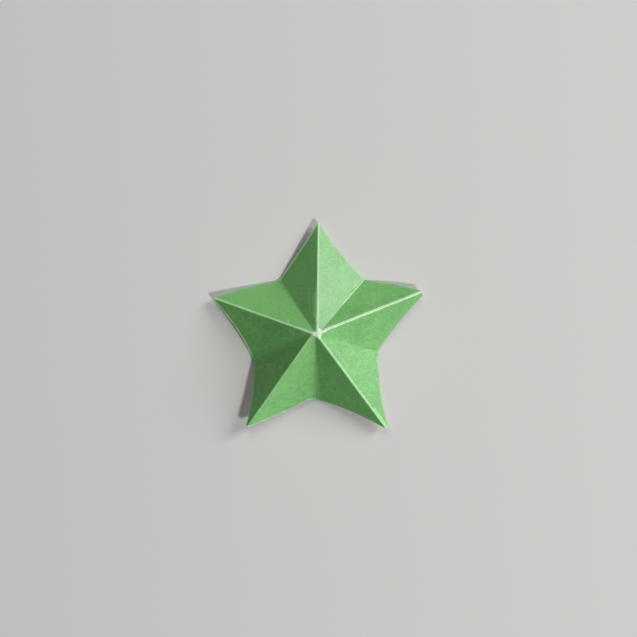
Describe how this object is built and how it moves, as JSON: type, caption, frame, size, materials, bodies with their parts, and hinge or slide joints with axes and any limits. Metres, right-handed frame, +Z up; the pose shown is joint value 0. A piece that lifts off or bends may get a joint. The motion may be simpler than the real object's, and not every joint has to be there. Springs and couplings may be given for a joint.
{
  "type": "folded paper star",
  "caption": "Ornament folded and cut from one sheet of craft paper: a hollow star whose ridges run to its tips and whose valleys run to its notches, which it lies on.",
  "frame": {"origin": "on the table right under the fold centre, where all creases meet", "axes": "+Z up, the way the fold centre points; +Y towards the top tip; +X to its right"},
  "size_m": [0.0527, 0.051, 0.0122],
  "materials": {
    "green_paper": "green-faced craft paper, soft low gloss, with white core showing on worn creases and cut edges, plain white underside"
  },
  "bodies": {
    "root": {"folded_star": "green_paper"}
  },
  "joints": []
}
